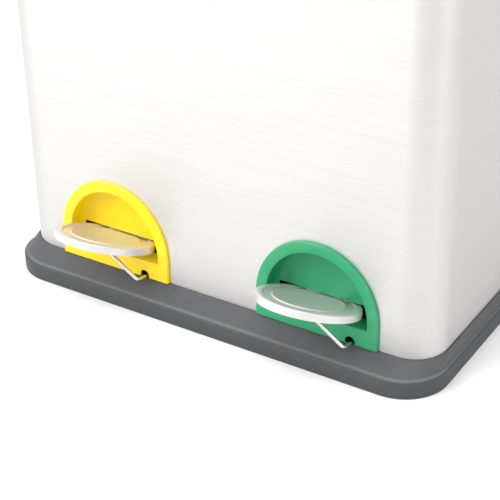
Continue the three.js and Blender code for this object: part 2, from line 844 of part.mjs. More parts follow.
// The boss that guides the rod's upper end, on a web from the rear skirt
function makeRodBoss(side) {
  const x = rodX(side);
  const eyeRadius = rodRadius + slideGap + rodGuideWall;
  const z0 = bodyTop - frameSkirtDrop;
  const z1 = z0 + rodGuideThickness;
  const skirt = rearY - socketInset - frameShell / 2;
  return join(
    bar(point(x, rodY, z0), point(x, rodY, z1), eyeRadius),
    block(x - eyeRadius, x + eyeRadius, rodY, skirt, z0, z1),
  );
}

// The rod's bore, and the mouth above it where the lid's lug swings
function makeLugMouth(side) {
  const x = rodX(side);
  const half = lugWidth / 2 + drawGap;
  const swing = (rodSetForward + lugReach) / Math.cos(lugAngle * degree) + drawGap;
  return [
    bar(point(x, rodY, 0), point(x, rodY, frameTop), rodRadius + slideGap),
    block(x - half, x + half, hingeY - swing, hingeY - lugMouthSetback,
      bodyTop - frameFlangeDrop, frameTop + overcut),
  ];
}

function hingeCentres(side) {
  return [hingeSideInset, bodyWidth / 2 - hingeSideInset].map((x) => sides[side] * x);
}

// Two ears at each hinge, standing on the frame's rear strip
function makeLidEars(side) {
  const foot = frameTop - frameShell / 2;
  return hingeCentres(side).flatMap((x) => [-1, 1].map((hand) => {
    const inner = x + hand * (knuckleWidth / 2 + slideGap);
    const outer = inner + hand * earThickness;
    const [x0, x1] = [inner, outer].sort((a, b) => a - b);
    return join(
      bar(point(x0, hingeY, hingeZ), point(x1, hingeY, hingeZ), earRadius),
      slab([
        [hingeY - earRadius, foot], [hingeY + earRadius + earBrace, foot],
        [hingeY + earRadius, hingeZ], [hingeY - earRadius, hingeZ],
      ], x0, x1),
    );
  }));
}

function makeLidPins(side) {
  hingeCentres(side).forEach((x, i) => {
    const half = knuckleWidth / 2 + slideGap + earThickness;
    add(`lid_pin_${side}_${i + 1}`, bar(point(x - half, hingeY, hingeZ),
      point(x + half, hingeY, hingeZ), pinRadius), 'springWire');
  });
}

// ---------------------------------------------------------------- lids

const lidFoot = frameTop + lidRestGap;
const lidEdge = lidFoot + lidSkirtHeight;

function lidBox(side) {
  const outer = bodyWidth / 2 + lidSideOverhang;
  const inner = lidSplit / 2;
  const [x0, x1] = sides[side] < 0 ? [-outer, -inner] : [inner, outer];
  return { x0, x1, y0: frontY - lidFrontOverhang, y1: hingeY - lidHingeGap };
}

// The lid's outline: rounded wide at the bin's own corners and tight at the split and the rear
function lidRing(side, inset, z) {
  const wide = lidCornerRadius - inset;
  const tight = lidInnerCornerRadius - Math.min(inset, lidInnerCornerRadius - 1);
  const radii = sides[side] < 0 ? [tight, tight, wide, tight] : [tight, tight, tight, wide];
  return planRing(shrink(lidBox(side), inset), radii, z);
}

// Rings of the crowned top, from the border inwards, raised by lift
function crownRings(side, from, lift) {
  const reach = bodyWidth / 4;
  return crownShares.map((share) => {
    const inset = from + share * (reach - from);
    const height = lidCrown * (1 - (1 - share) ** 2);
    return lidRing(side, inset, lidEdge + lift + height);
  });
}

function makeLid(side) {
  const seat = lidBorderRise - lidPlateThickness - seatGap;
  const outside = solid(loft([
    lidRing(side, 0, lidFoot),
    ...roundedEdge(lidEdgeRadius, lidEdgeSteps, (inset, drop) => (
      lidRing(side, inset, lidEdge - drop)
    )),
    lidRing(side, lidBorder, lidEdge + lidBorderRise),
    ...crownRings(side, lidBorder, seat),
  ]));
  const inside = solid(loft([
    lidRing(side, lidShell, lidFoot - overcut),
    lidRing(side, lidShell, lidEdge - lidEdgeRadius),
    lidRing(side, lidShell + lidEdgeRadius, lidEdge - lidShell),
    ...crownRings(side, lidBorder + lidShell, seat - lidShell).slice(1),
  ]));
  const knuckles = hingeCentres(side).map(makeKnuckle);
  const lug = makeLug(rodX(side));
  add(`lid_shell_${side}`, join(cut(outside, inside), ...knuckles, lug), 'blackPlastic');

  const plateInset = lidBorder + seatGap;
  const under = crownRings(side, plateInset, lidBorderRise - lidPlateThickness);
  const over = crownRings(side, plateInset, lidBorderRise);
  add(`lid_plate_${side}`, solid(loft([...under.reverse(), ...over])), 'brushedSteel');
}

// An arm from the lid's rear wall that closes round the hinge pin
function makeKnuckle(x) {
  const [x0, x1] = [x - knuckleWidth / 2, x + knuckleWidth / 2];
  const wall = hingeY - lidHingeGap;
  const arm = slab([
    [wall - lidShell / 2, hingeZ - knuckleRadius], [hingeY, hingeZ - knuckleRadius],
    [hingeY, hingeZ + knuckleRadius], [wall - lidShell / 2, lidEdge - lidEdgeRadius],
  ], x0, x1);
  const round = bar(point(x0, hingeY, hingeZ), point(x1, hingeY, hingeZ), knuckleRadius);
  const eye = bar(point(x0 - overcut, hingeY, hingeZ), point(x1 + overcut, hingeY, hingeZ),
    pinRadius + bushGap);
  return cut(join(arm, round), eye);
}

// The wedge that the rod pushes: its underside slopes down from the hinge line
function makeLug(x) {
  const slope = Math.tan(lugAngle * degree);
  const far = rodSetForward + lugReach;
  return slab([
    [hingeY - lugRoot, hingeZ - lugRoot * slope], [hingeY - lugRoot, hingeZ + lugTop],
    [hingeY - far, hingeZ + lugTop], [hingeY - far, hingeZ - far * slope],
  ], x - lugWidth / 2, x + lugWidth / 2);
}

// ---------------------------------------------------------------- buckets

function makeBucket(side) {
  const well = shrink(wellBox(side), drawGap);
  const foot = deckHeight + seatGap;
  const lipFoot = frameTop + seatGap;
  const lipTop = lipFoot + bucketLipThickness;
  const radius = bucketCornerRadius;
  const bottomBox = {
    x0: well.x0 + bucketTaperWidth / 2, x1: well.x1 - bucketTaperWidth / 2,
    y0: well.y0 + bucketTaperDepth / 2, y1: well.y1 - bucketTaperDepth / 2,
  };
  const lipBox = shrink(well, -drawGap - bucketLip);
  const outside = solid(loft([
    planRing(shrink(bottomBox, bucketFootInset), bucketFootRadius - bucketFootInset, foot),
    planRing(bottomBox, bucketFootRadius, foot + bucketFootRise),
    planRing(well, radius, bodyTop - bucketLipDrop),
    planRing(well, radius, lipFoot),
    planRing(lipBox, radius + bucketLip, lipFoot),
    ...roundedEdge(bucketLipEdge, 1, (inset, drop) => (
      planRing(shrink(lipBox, inset), radius + bucketLip - inset, lipTop - drop)
    )),
  ]));
  const floor = foot + bucketFloorThickness;
  const floorInset = bucketWall + bucketFootInset;
  const inside = solid(loft([
    planRing(shrink(bottomBox, floorInset), bucketFootRadius - floorInset, floor),
    planRing(shrink(bottomBox, bucketWall), bucketFootRadius - bucketWall,
      floor + bucketFootRise),
    planRing(shrink(well, bucketWall), radius - bucketWall, bodyTop - bucketLipDrop),
    planRing(shrink(well, bucketWall), radius - bucketWall, lipTop + overcut),
  ]));
  add(`bucket_${side}`, cut(outside, inside), 'bucketPlastic');
}

// ---------------------------------------------------------------- assembly

makeTray();
makeWrap();
makeDeck();
makeTopFrame();
for (const side of Object.keys(sides)) {
  makeSurround(side);
  makePedal(side);
  makeCrank(side);
  makeRod(side);
  makeRodGuide(side);
  makeLidPins(side);
  makeLid(side);
  makeBucket(side);
}

export default model;
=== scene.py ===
import math
import bmesh
import bpy
from mathutils import Matrix, Vector


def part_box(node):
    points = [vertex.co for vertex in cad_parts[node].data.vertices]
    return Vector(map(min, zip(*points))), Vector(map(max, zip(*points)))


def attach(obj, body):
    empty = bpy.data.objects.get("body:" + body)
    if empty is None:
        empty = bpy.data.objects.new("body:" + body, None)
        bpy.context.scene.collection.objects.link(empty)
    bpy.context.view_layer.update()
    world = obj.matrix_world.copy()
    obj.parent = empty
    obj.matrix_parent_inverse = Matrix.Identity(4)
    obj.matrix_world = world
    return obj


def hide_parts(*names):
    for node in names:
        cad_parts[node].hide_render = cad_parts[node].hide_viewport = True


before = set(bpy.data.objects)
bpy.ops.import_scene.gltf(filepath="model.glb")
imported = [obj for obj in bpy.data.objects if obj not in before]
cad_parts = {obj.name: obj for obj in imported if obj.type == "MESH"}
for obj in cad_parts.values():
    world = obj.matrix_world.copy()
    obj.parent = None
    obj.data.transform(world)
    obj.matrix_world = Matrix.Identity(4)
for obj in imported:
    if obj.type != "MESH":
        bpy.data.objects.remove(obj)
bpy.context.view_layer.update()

# A double pedal recycling bin in brushed steel on a moulded tray.
# Shapes are drawn in millimetres and become metres when they are finished. Materials, lamps
# and the camera are in metres.
metre = 0.001
# points this close become one, and an edge this close to a place counts as being there
weld = 0.002
touch = 0.01
sides = {"left": -1, "right": 1}

steelBody = {
    "halfWidth": 201.3, "front": -142.5, "rear": 157.5, "cornerRadius": 29.5,
    "foot": 6.3, "top": 446, "sheet": 1, "pedalSpacing": 200,
    "seamWidth": 12, "seamHeight": 0.8, "seamGap": 2, "seamSink": 0.05, "seamEdge": 0.35,
    "flangeDrop": 12, "flatInset": 1.5, "flatArea": 10000, "cornerSegments": 28,
    "sharpAngle": 40,
}


def pedalX(side):
    return sides[side] * steelBody["pedalSpacing"] / 2


def unique(items):
    # each item once, in the order in which they come
    return list(dict.fromkeys(items))


def newEdges(bm, before):
    return [edge for edge in bm.edges if edge not in before]


def roundedLoop(bm, box, radii, z, segments):
    # a closed loop of edges: a rectangle (x0, x1, y0, y1) with its corners rounded
    before = set(bm.edges)
    x0, x1, y0, y1 = box
    places = ((x1, y1), (x0, y1), (x0, y0), (x1, y0))
    corners = [bm.verts.new((x, y, z)) for x, y in places]
    bm.faces.new(corners)
    for place, radius in zip(places, radii):
        corner = min((v for e in newEdges(bm, before) for v in e.verts),
                     key=lambda v: (v.co - Vector((*place, z))).length)
        bmesh.ops.bevel(bm, geom=[corner], offset=radius, offset_type="OFFSET", segments=segments,
                        profile=0.5, affect="VERTICES", material=-1, clamp_overlap=False)
    edges = newEdges(bm, before)
    faces = unique(f for e in edges for f in e.link_faces)
    bmesh.ops.delete(bm, geom=faces, context="FACES_ONLY")
    return edges


def skin(bm, loops, capFirst=False, capLast=False):
    for one, other in zip(loops, loops[1:]):
        bmesh.ops.bridge_loops(bm, edges=one + other)
    if capFirst:
        bmesh.ops.edgeloop_fill(bm, edges=loops[0])
    if capLast:
        bmesh.ops.edgeloop_fill(bm, edges=loops[-1])


def shrunk(box, inset):
    x0, x1, y0, y1 = box
    return (x0 + inset, x1 - inset, y0 + inset, y1 - inset)


def roundingSteps(radius, steps):
    # (how far in, how far below the top) round a quarter circle, from the side to the top
    turns = [math.pi / 2 * step / steps for step in range(steps + 1)]
    return [(radius * (1 - math.cos(t)), radius * (1 - math.sin(t))) for t in turns]


def bodyLoop(bm, inset, z, segments):
    half = steelBody["halfWidth"]
    box = shrunk((-half, half, steelBody["front"], steelBody["rear"]), inset)
    return roundedLoop(bm, box, [steelBody["cornerRadius"] - inset] * 4, z, segments)


def roundEdges(bm, edges, radius, segments):
    bmesh.ops.bevel(bm, geom=edges, offset=radius, offset_type="OFFSET", segments=segments,
                    profile=0.5, affect="EDGES", material=-1)


def addBlock(bm, x0, x1, y0, y1, z0, z1, edgeRadius):
    place = Matrix.Translation(((x0 + x1) / 2, (y0 + y1) / 2, (z0 + z1) / 2))
    size = Matrix.Diagonal((x1 - x0, y1 - y0, z1 - z0, 1))
    made = bmesh.ops.create_cube(bm, size=1, matrix=place @ size)
    edges = unique(e for v in made["verts"] for e in v.link_edges)
    roundEdges(bm, edges, edgeRadius, 2)


def addSlab(bm, outline, x0, x1):
    # an outline of (y, z) corners drawn out along X
    face = bm.faces.new([bm.verts.new((x0, y, z)) for y, z in outline])
    drawn = bmesh.ops.extrude_face_region(bm, geom=[face], use_keep_orig=True)
    moved = [v for v in drawn["geom"] if isinstance(v, bmesh.types.BMVert)]
    bmesh.ops.translate(bm, vec=(x1 - x0, 0, 0), verts=moved)


def addTurned(bm, outline, steps, axis=(0, 0, 1), centre=(0, 0, 0), closed=True):
    # corners joined by a line and spun a full turn about the axis
    corners = [bm.verts.new(place) for place in outline]
    edges = [bm.edges.new(pair) for pair in zip(corners, corners[1:])]
    if closed:
        edges.append(bm.edges.new((corners[-1], corners[0])))
    bmesh.ops.spin(bm, geom=corners + edges, cent=centre, axis=axis, angle=2 * math.pi,
                   steps=steps, use_merge=True)


def cleaned(bm):
    bmesh.ops.remove_doubles(bm, verts=bm.verts, dist=weld)
    bmesh.ops.recalc_face_normals(bm, faces=bm.faces)


def thicken(bm, wall):
    # turn an open sheet into a wall that grows inwards
    cleaned(bm)
    bmesh.ops.solidify(bm, geom=bm.faces[:], thickness=wall)


softEdges = {"segments": 2, "angle": 50}


def finishPiece(name, bm, material, body, nodes, sharpAngle, wall=0.0, rounded=0.0):
    # rounded is the radius that softens the edges that stay sharp
    if wall:
        thicken(bm, wall)
    else:
        cleaned(bm)
    bmesh.ops.scale(bm, vec=(metre, metre, metre), verts=bm.verts)
    mesh = bpy.data.meshes.new(name)
    bm.to_mesh(mesh)
    bm.free()
    piece = bpy.data.objects.new(name, mesh)
    bpy.context.scene.collection.objects.link(piece)
    mesh.materials.append(material)
    for polygon in mesh.polygons:
        polygon.use_smooth = True
    mesh.set_sharp_from_angle(angle=math.radians(sharpAngle))
    if rounded:
        bevel = piece.modifiers.new("softEdges", "BEVEL")
        bevel.width, bevel.segments = rounded * metre, softEdges["segments"]
        bevel.limit_method, bevel.angle_limit = "ANGLE", math.radians(softEdges["angle"])
        bevel.harden_normals = True
    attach(piece, body)
    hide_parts(*nodes)
    print("made", name, len(mesh.polygons), "faces")


class Socket:
    # a node's output, on which Python's operators add Math nodes
    def __init__(self, finish, link):
        self.finish, self.link = finish, link

    def math(self, operation, *values):
        return self.finish.node("ShaderNodeMath", {"operation": operation}, dict(enumerate(values)))

    def __add__(self, other):
        return self.math("ADD", self, other)

    def __radd__(self, other):
        return self.math("ADD", other, self)

    def __sub__(self, other):
        return self.math("SUBTRACT", self, other)

    def __mul__(self, other):
        return self.math("MULTIPLY", self, other)


class Finish:
    # a material under construction
    def __init__(self, name):
        self.material = bpy.data.materials.new(name)
        self.material.use_nodes = True
        self.tree = self.material.node_tree
        self.tree.nodes.clear()
        self.place = self.node("ShaderNodeTexCoord", output="Object")

    def node(self, kind, settings=None, inputs=None, output=0):
        node = self.tree.nodes.new(kind)
        for key, value in (settings or {}).items():
            setattr(node, key, value)
        for key, value in (inputs or {}).items():
            if isinstance(value, Socket):
                self.tree.links.new(value.link, node.inputs[key])
            else:
                node.inputs[key].default_value = value
        return Socket(self, node.outputs[output]) if node.outputs else None

    def stretched(self, x, y, z):
        return self.node("ShaderNodeMapping", {"vector_type": "POINT"},
                         {"Vector": self.place, "Scale": (x, y, z)})

    def noise(self, kind, scale, place=None):
        detail, roughness = noiseKinds[kind]
        return self.node("ShaderNodeTexNoise", {}, {
            "Vector": place or self.place, "Scale": scale, "Detail": detail,
            "Roughness": roughness}, "Fac")

    def between(self, value, low, high, newLow=0.0, newHigh=1.0):
        return self.node("ShaderNodeMapRange", {"clamp": True}, {
            "Value": value, "From Min": low, "From Max": high,
            "To Min": newLow, "To Max": newHigh})

    def mixed(self, factor, one, other):
        return self.node("ShaderNodeMix", {"data_type": "RGBA"},
                         {0: factor, 6: one, 7: other}, 2)

    def bump(self, height, distance, normal=None):
        inputs = {"Height": height, "Distance": distance, "Strength": 1.0}
        if normal:
            inputs["Normal"] = normal
        return self.node("ShaderNodeBump", {}, inputs)

    def finish(self, **sockets):
        shader = self.node("ShaderNodeBsdfPrincipled", {}, {
            spaced(key): value for key, value in sockets.items()})
        self.node("ShaderNodeOutputMaterial", {}, {"Surface": shader})
        return self.material


def spaced(key):
    # baseColor -> Base Color, as the shader's sockets are named
    return "".join(" " + letter if letter.isupper() else letter for letter in key).title()


def tint(red, green, blue):
    # a colour given as it looks on a screen, 0 to 255
    def linear(level):
        share = level / 255
        return share / 12.92 if share <= 0.04045 else ((share + 0.055) / 1.055) ** 2.4
    return (linear(red), linear(green), linear(blue), 1)


# each noise's detail and roughness, and the middle range that is spread over 0 to 1
noiseKinds = {
    "streaks": (3, 0.6), "bands": (2, 0.5), "wave": (1, 0.4), "haze": (3, 0.5),
    "grain": (3, 0.6), "cloud": (3, 0.5), "mottle": (4, 0.65), "fibre": (3, 0.5),
}
noiseSpan = (0.3, 0.7)

steelLook = {
    "light": (212, 211, 209), "dark": (206, 204, 202), "roughness": 0.44, "roughnessSpread": 0.06,
    "metal": 1.0, "grainPull": 0.6, "grainTurn": 0.25,
    "streaksPerMetre": 1500, "streakStretch": 9, "streakSpan": (0.34, 0.66),
    "bandScale": 0.12, "bandShare": 0.2,
    "waveScale": 5, "waveHeight": 0.0003, "streakHeight": 0.000002,
}

discLook = {
    **steelLook, "light": (221, 220, 219), "dark": (204, 203, 201), "roughness": 0.42,
    "roughnessSpread": 0.12, "metal": 0.55, "grainPull": 0.0,
    "streaksPerMetre": 1900, "streakStretch": 40,
    "waveScale": 30, "waveHeight": 0.00005, "streakHeight": 0.000003,
}


def brushedSteel(name, look, along):
    # brushed lines that run along the axes marked 1
    finish = Finish(name)
    scale = [look["streakStretch"] if axis else look["streaksPerMetre"] for axis in along]
    streaks = finish.noise("streaks", 1, finish.stretched(*scale))
    broad = [s * look["bandScale"] for s in scale]
    bands = finish.noise("bands", 1, finish.stretched(*broad))
    wave = finish.noise("wave", look["waveScale"])
    share, half = look["bandShare"], look["roughnessSpread"] / 2
    mask = finish.between(streaks * (1 - share) + bands * share, *look["streakSpan"])
    rough = finish.between(mask, 0, 1, look["roughness"] - half, look["roughness"] + half)
    dents = finish.bump(wave, look["waveHeight"])
    return finish.finish(baseColor=finish.mixed(mask, tint(*look["dark"]), tint(*look["light"])),
                         metallic=look["metal"], roughness=rough,
                         normal=finish.bump(streaks, look["streakHeight"], dents),
                         anisotropic=look["grainPull"], anisotropicRotation=look["grainTurn"])


wireLook = {
    "colour": (226, 226, 224), "hazed": (196, 196, 194), "roughness": 0.16, "hazeSpread": 0.12,
    "scratchScale": 700, "scratchHeight": 0.000008,
}


def brightWire():
    finish, look = Finish("brightWire"), wireLook
    haze = finish.between(finish.noise("haze", look["scratchScale"]), *noiseSpan)
    return finish.finish(baseColor=finish.mixed(haze, tint(*look["colour"]), tint(*look["hazed"])),
                         metallic=1.0, roughness=look["roughness"] + haze * look["hazeSpread"],
                         normal=finish.bump(haze, look["scratchHeight"]))


# moulded plastics: a fine grain, and a slow cloud that varies colour and gloss
cloudLook = {"scale": 18, "span": (0.35, 0.65), "share": 0.6, "spread": 0.1}
plasticLooks = {
    "blackPlastic": {"light": (48, 49, 52), "dark": (38, 39, 42), "roughness": 0.5,
                     "grainScale": 1300, "grainHeight": 0.00005},
    "bucketPlastic": {"light": (62, 64, 68), "dark": (50, 52, 56), "roughness": 0.56,
                      "grainScale": 800, "grainHeight": 0.00006},
    "yellowPlastic": {"light": (255, 226, 24), "dark": (252, 214, 10), "roughness": 0.36,
                      "grainScale": 500, "grainHeight": 0.00001},
    "greenPlastic": {"light": (44, 160, 108), "dark": (36, 148, 98), "roughness": 0.36,
                     "grainScale": 500, "grainHeight": 0.00001},
}


def mouldedPlastic(name):
    finish, look = Finish(name), plasticLooks[name]
    grain = finish.noise("grain", look["grainScale"])
    cloud = finish.between(finish.noise("cloud", cloudLook["scale"]), *cloudLook["span"])
    share, spread = cloudLook["share"], cloudLook["spread"]
    mask = cloud * share + finish.between(grain, *noiseSpan) * (1 - share)
    return finish.finish(baseColor=finish.mixed(mask, tint(*look["dark"]), tint(*look["light"])),
                         roughness=look["roughness"] + cloud * spread - spread / 2,
                         normal=finish.bump(grain, look["grainHeight"]))


# the ledge's colours carry painted light on the up-facing ledge, and the skirt's darker colours
# carry painted shade
trayLook = {
    "litLedgeLight": (84, 86, 90), "litLedgeDark": (72, 74, 78), "shadedSkirtLight": (69, 70, 72),
    "shadedSkirtDark": (57, 58, 60), "turn": 0.0152, "turnBlend": 0.0003,
    # a painted highlight: a paler band along the crease where ledge and skirt meet, where the edge
    # catches light
    "worn": (132, 133, 136), "paintedCreaseHighlightShare": 0.55, "paintedCreaseHighlightFoot": (-0.0005, 0.0001),
    "paintedCreaseHighlightHead": (0.0001, 0.0009),
    "roughness": 0.48, "mottleRough": 0.08, "skirtRough": 0.06,
    "grainScale": 1100, "grainHeight": 0.00010,
    "mottleScale": 60, "mottleSpan": (0.32, 0.68), "mottleShare": 0.55,
}


def trayPlastic():
    # a smooth ledge painted lighter, as it is lit from above, over a skirt painted darker, as it is
    # in shade, with a painted highlight along the edge where they meet
    finish, look = Finish("trayPlastic"), trayLook
    height = finish.node("ShaderNodeSeparateXYZ", {}, {"Vector": finish.place}, 2)
    turn, blend, share = look["turn"], look["turnBlend"], look["mottleShare"]
    skirt = finish.between(height, turn - blend, turn + blend, 1, 0)
    grain = finish.noise("grain", look["grainScale"])
    mottle = finish.between(finish.noise("mottle", look["mottleScale"]), *look["mottleSpan"])
    mask = mottle * share + finish.between(grain, *noiseSpan) * (1 - share)
    # the painted highlight along the crease, paler than the ledge and skirt
    worn = (finish.between(height, *[turn + z for z in look["paintedCreaseHighlightFoot"]])
            * finish.between(height, *[turn + z for z in look["paintedCreaseHighlightHead"]], 1, 0))
    ledge = finish.mixed(mask, tint(*look["litLedgeDark"]), tint(*look["litLedgeLight"]))
    side = finish.mixed(mask, tint(*look["shadedSkirtDark"]), tint(*look["shadedSkirtLight"]))
    # painted light and shade: the lit ledge colour above the turn, the shaded skirt colour below it
    paintedLitAndShaded = finish.mixed(skirt, ledge, side)
    return finish.finish(
        baseColor=finish.mixed(worn * look["paintedCreaseHighlightShare"], paintedLitAndShaded, tint(*look["worn"])),
        roughness=look["roughness"] + mottle * look["mottleRough"] + skirt * look["skirtRough"],
        normal=finish.bump(grain, look["grainHeight"]))


materials = {
    "steel": brushedSteel("bodySteel", steelLook, (1, 1, 0)),
    "lidSteel": brushedSteel("lidSteel", steelLook, (1, 0, 0)),
    "disc": brushedSteel("discSteel", discLook, (1, 0, 0)),
    "wire": brightWire(),
    "tray": trayPlastic(),
    "black": mouldedPlastic("blackPlastic"),
    "bucket": mouldedPlastic("bucketPlastic"),
    "left": mouldedPlastic("yellowPlastic"),
    "right": mouldedPlastic("greenPlastic"),
}
print("materials ready")


# the camera that took the photo: metres and radians
view = {
    "location": (0.5592, -0.9567, 0.6407), "yaw": 0.5698, "pitch": 0.5246, "roll": -0.0171,
    "lens": 99.88, "sensor": 36,
}


def makeCamera():
    data = bpy.data.cameras.new("camera")
    data.lens, data.sensor_width = view["lens"], view["sensor"]
    camera = bpy.data.objects.new("camera", data)
    bpy.context.scene.collection.objects.link(camera)
    camera.matrix_world = (
        Matrix.Translation(view["location"]) @ Matrix.Rotation(view["yaw"], 4, "Z")
        @ Matrix.Rotation(math.pi / 2 - view["pitch"], 4, "X")
        @ Matrix.Rotation(view["roll"], 4, "Z"))
    bpy.context.scene.camera = camera


makeCamera()

studio = {
    "world": 1.0, "floorSize": 6, "paper": (250, 250, 250), "fibre": (247, 247, 247),
    "fibreScale": 260, "paperRoughness": 0.9,
    # a broad soft box at the left front, a weak one overhead and one for the right corner
    "lamps": [
        {"place": (-1.6, -2.2, 1.9), "aim": (0, 0, 0.1), "size": 1.8, "power": 60},
        {"place": (0.2, -0.4, 2.6), "aim": (0, 0, 0), "size": 1.6, "power": 12},
        {"place": (2.1, -0.75, 0.9), "aim": (0.2, -0.1, 0.2), "size": 0.9, "power": 5},
    ],
}


def makeFloor():
    bm = bmesh.new()
    bmesh.ops.create_grid(bm, x_segments=1, y_segments=1, size=studio["floorSize"])
    mesh = bpy.data.meshes.new("floor")
    bm.to_mesh(mesh)
    bm.free()
    floor = bpy.data.objects.new("floor", mesh)
    bpy.context.scene.collection.objects.link(floor)
    paper = Finish("paper")
    fibre = paper.between(paper.noise("fibre", studio["fibreScale"]), *noiseSpan)
    colour = paper.mixed(fibre, tint(*studio["paper"]), tint(*studio["fibre"]))
    mesh.materials.append(paper.finish(baseColor=colour, roughness=studio["paperRoughness"]))


def makeStudio():
    world = bpy.data.worlds.new("studio")
    bpy.context.scene.world = world
    world.use_nodes = True
    background = world.node_tree.nodes["Background"].inputs
    background["Color"].default_value = (1, 1, 1, 1)
    background["Strength"].default_value = studio["world"]
    makeFloor()
    for number, lamp in enumerate(studio["lamps"]):
        data = bpy.data.lights.new(f"softBox{number}", "AREA")
        data.shape, data.size, data.energy = "SQUARE", lamp["size"], lamp["power"]
        box = bpy.data.objects.new(f"softBox{number}", data)
        bpy.context.scene.collection.objects.link(box)
        box.location = lamp["place"]
        aim = Vector(lamp["aim"]) - Vector(lamp["place"])
        box.rotation_euler = aim.to_track_quat("-Z", "Y").to_euler()
    bpy.context.scene.view_settings.view_transform = "Standard"
    print("studio ready")


makeStudio()


tray = {
    "halfWidth": 208.8, "front": -165, "rear": 165, "cornerRadius": 40.2, "skirt": 14.2,
    "top": 24.6, "crease": 1.6, "creaseSteps": 6, "creaseRise": 0.35, "creaseReach": 1.2,
    "wall": 2.5, "floor": 3, "socketFoot": 6, "socketGap": 0.3, "socketRoof": 1, "innerLip": 20,
    "ribCount": 9, "ribThickness": 1.8, "ribRunIn": 1, "ribFoot": 1, "ribRear": 22,
    "ribFront": 12.5, "cornerSegments": 24, "sharpAngle": 34,
    # (in, up) round the skirt's foot
    "footRound": [(0.8, 0), (0.25, 0.25), (0, 0.8)],
    # the bead along the ledge's edge: (in, up) as shares of its height
    "bead": 0.5, "beadRound": [(0, 1), (1, 1.15), (2.4, 0.6)],
    # (out, down) round the lip at the steel's foot
    "lipRound": [(1.6, 0.5), (1.0, 0.15), (0.5, 0), (0, 0.3)],
}


def trayLoop(bm, inset, z):
    box = shrunk((-tray["halfWidth"], tray["halfWidth"], tray["front"], tray["rear"]), inset)
    radii = [tray["cornerRadius"] - inset] * 4
    return roundedLoop(bm, box, radii, z, tray["cornerSegments"])


def socketLoop(bm, inset, z):
    # a line round the steel, for the tray's socket
    return bodyLoop(bm, inset, z, tray["cornerSegments"])


def makeTray():
    bm = bmesh.new()
    gap, crease, wall, bead = tray["socketGap"], tray["crease"], tray["wall"], tray["bead"]
    socketWall, inner = -gap - wall, steelBody["sheet"] + gap
    turn = tray["skirt"] + crease * tray["creaseRise"]
    ledge = crease * tray["creaseReach"]
    profile = [socketLoop(bm, socketWall, 0),
               socketLoop(bm, socketWall, tray["top"] - wall - tray["socketRoof"]),
               trayLoop(bm, wall, tray["skirt"] - wall),
               trayLoop(bm, wall, 0)]
    profile += [trayLoop(bm, inset, up) for inset, up in tray["footRound"]]
    profile += [trayLoop(bm, inset, turn - below)
                for inset, below in roundingSteps(crease, tray["creaseSteps"])[:-1]]
    profile += [trayLoop(bm, ledge + bead * inset, turn + bead * up)
                for inset, up in tray["beadRound"]]
    profile += [socketLoop(bm, -gap - out, tray["top"] - below)
                for out, below in tray["lipRound"]]
    profile += [socketLoop(bm, -gap, tray["socketFoot"]),
                socketLoop(bm, inner, tray["socketFoot"]),
                socketLoop(bm, inner, tray["innerLip"]),
                socketLoop(bm, inner + wall, tray["innerLip"]),
                socketLoop(bm, inner + wall, tray["floor"])]
    skin(bm, profile, True, True)

    # ribs under the ledge
    cornerX = steelBody["halfWidth"] - steelBody["cornerRadius"]
    pitch = 2 * cornerX / (tray["ribCount"] - 1)
    near, far = tray["front"] + tray["ribRunIn"], steelBody["front"] - tray["ribRunIn"]
    outline = [(near, tray["ribFoot"]), (far, tray["ribFoot"]), (far, tray["ribRear"]),
               (near, tray["ribFront"])]
    half = tray["ribThickness"] / 2
    for number in range(tray["ribCount"]):
        x = -cornerX + number * pitch
        addSlab(bm, outline, x - half, x + half)
    finishPiece("baseTray", bm, materials["tray"], "bin", ["base_tray"],
                tray["sharpAngle"])


makeTray()


surround = {
    "width": 112, "straight": 21.3, "rise": 60.2, "proud": 3.2, "edgeRadius": 1.4, "band": 9.8,
    "mouthRadius": 1, "wall": 2, "depth": 12.5, "fillet": 6, "floor": 41, "foot": 24.9,
    "standOff": 0.1, "runIn": 1, "edgeSteps": 5, "mouthSteps": 4, "filletSteps": 8,
    "slotHalfWidth": 42, "slotHeight": 12, "slotMargin": 0.5,
    "notchOffset": 31.8, "notchWidth": 9, "notchHeight": 7, "notchSteps": 12,
    "archSteps": 56, "cutOutInset": 7.3, "cutOutFoot": 23,
    "hookWidth": 9, "hookReach": 1.6, "hookThickness": 2.4, "hookGap": 0.3, "hookEdge": 0.3,
    "hingeSetback": 20, "hingeHeight": 46.5, "earInner": 23, "earThickness": 4, "earFront": 2.7,
    "earBack": 5, "earDrop": 5, "earChamfer": 2.5, "earRoot": 56, "earShoulder": 59, "earTop": 67,
    "sharpAngle": 30,
}


def archChain(bm, x, inset, y, bottom):
    # an open line of edges up one side of the arch, over its crown and down the other
    before = set(bm.edges)
    halfWidth = surround["width"] / 2 - inset
    spring = tray["top"] + surround["straight"]
    start = bm.verts.new((x + halfWidth, y, spring))
    bmesh.ops.spin(bm, geom=[start], cent=(x, y, spring), axis=(0, -1, 0), angle=math.pi,
                   steps=surround["archSteps"])
    made = unique(v for e in newEdges(bm, before) for v in e.verts)
    squash = (surround["rise"] - inset) / halfWidth
    bmesh.ops.scale(bm, vec=(1, 1, squash), verts=made,
                    space=Matrix.Translation((-x, -y, -spring)))
    ends = [max(made, key=lambda v: v.co.x), min(made, key=lambda v: v.co.x)]
    for end in ends:
        foot = bmesh.ops.extrude_vert_indiv(bm, verts=[end])["verts"]
        bmesh.ops.translate(bm, vec=(0, 0, bottom - spring), verts=foot)
    return newEdges(bm, before)


def archFeet(chain):
    low = min(v.co.z for e in chain for v in e.verts)
    feet = unique(v for e in chain for v in e.verts if v.co.z < low + touch)
    return sorted(feet, key=lambda v: v.co.x)


def archLoop(bm, x, inset, y, bottom):
    chain = archChain(bm, x, inset, y, bottom)
    return chain + [bm.edges.new(archFeet(chain))]


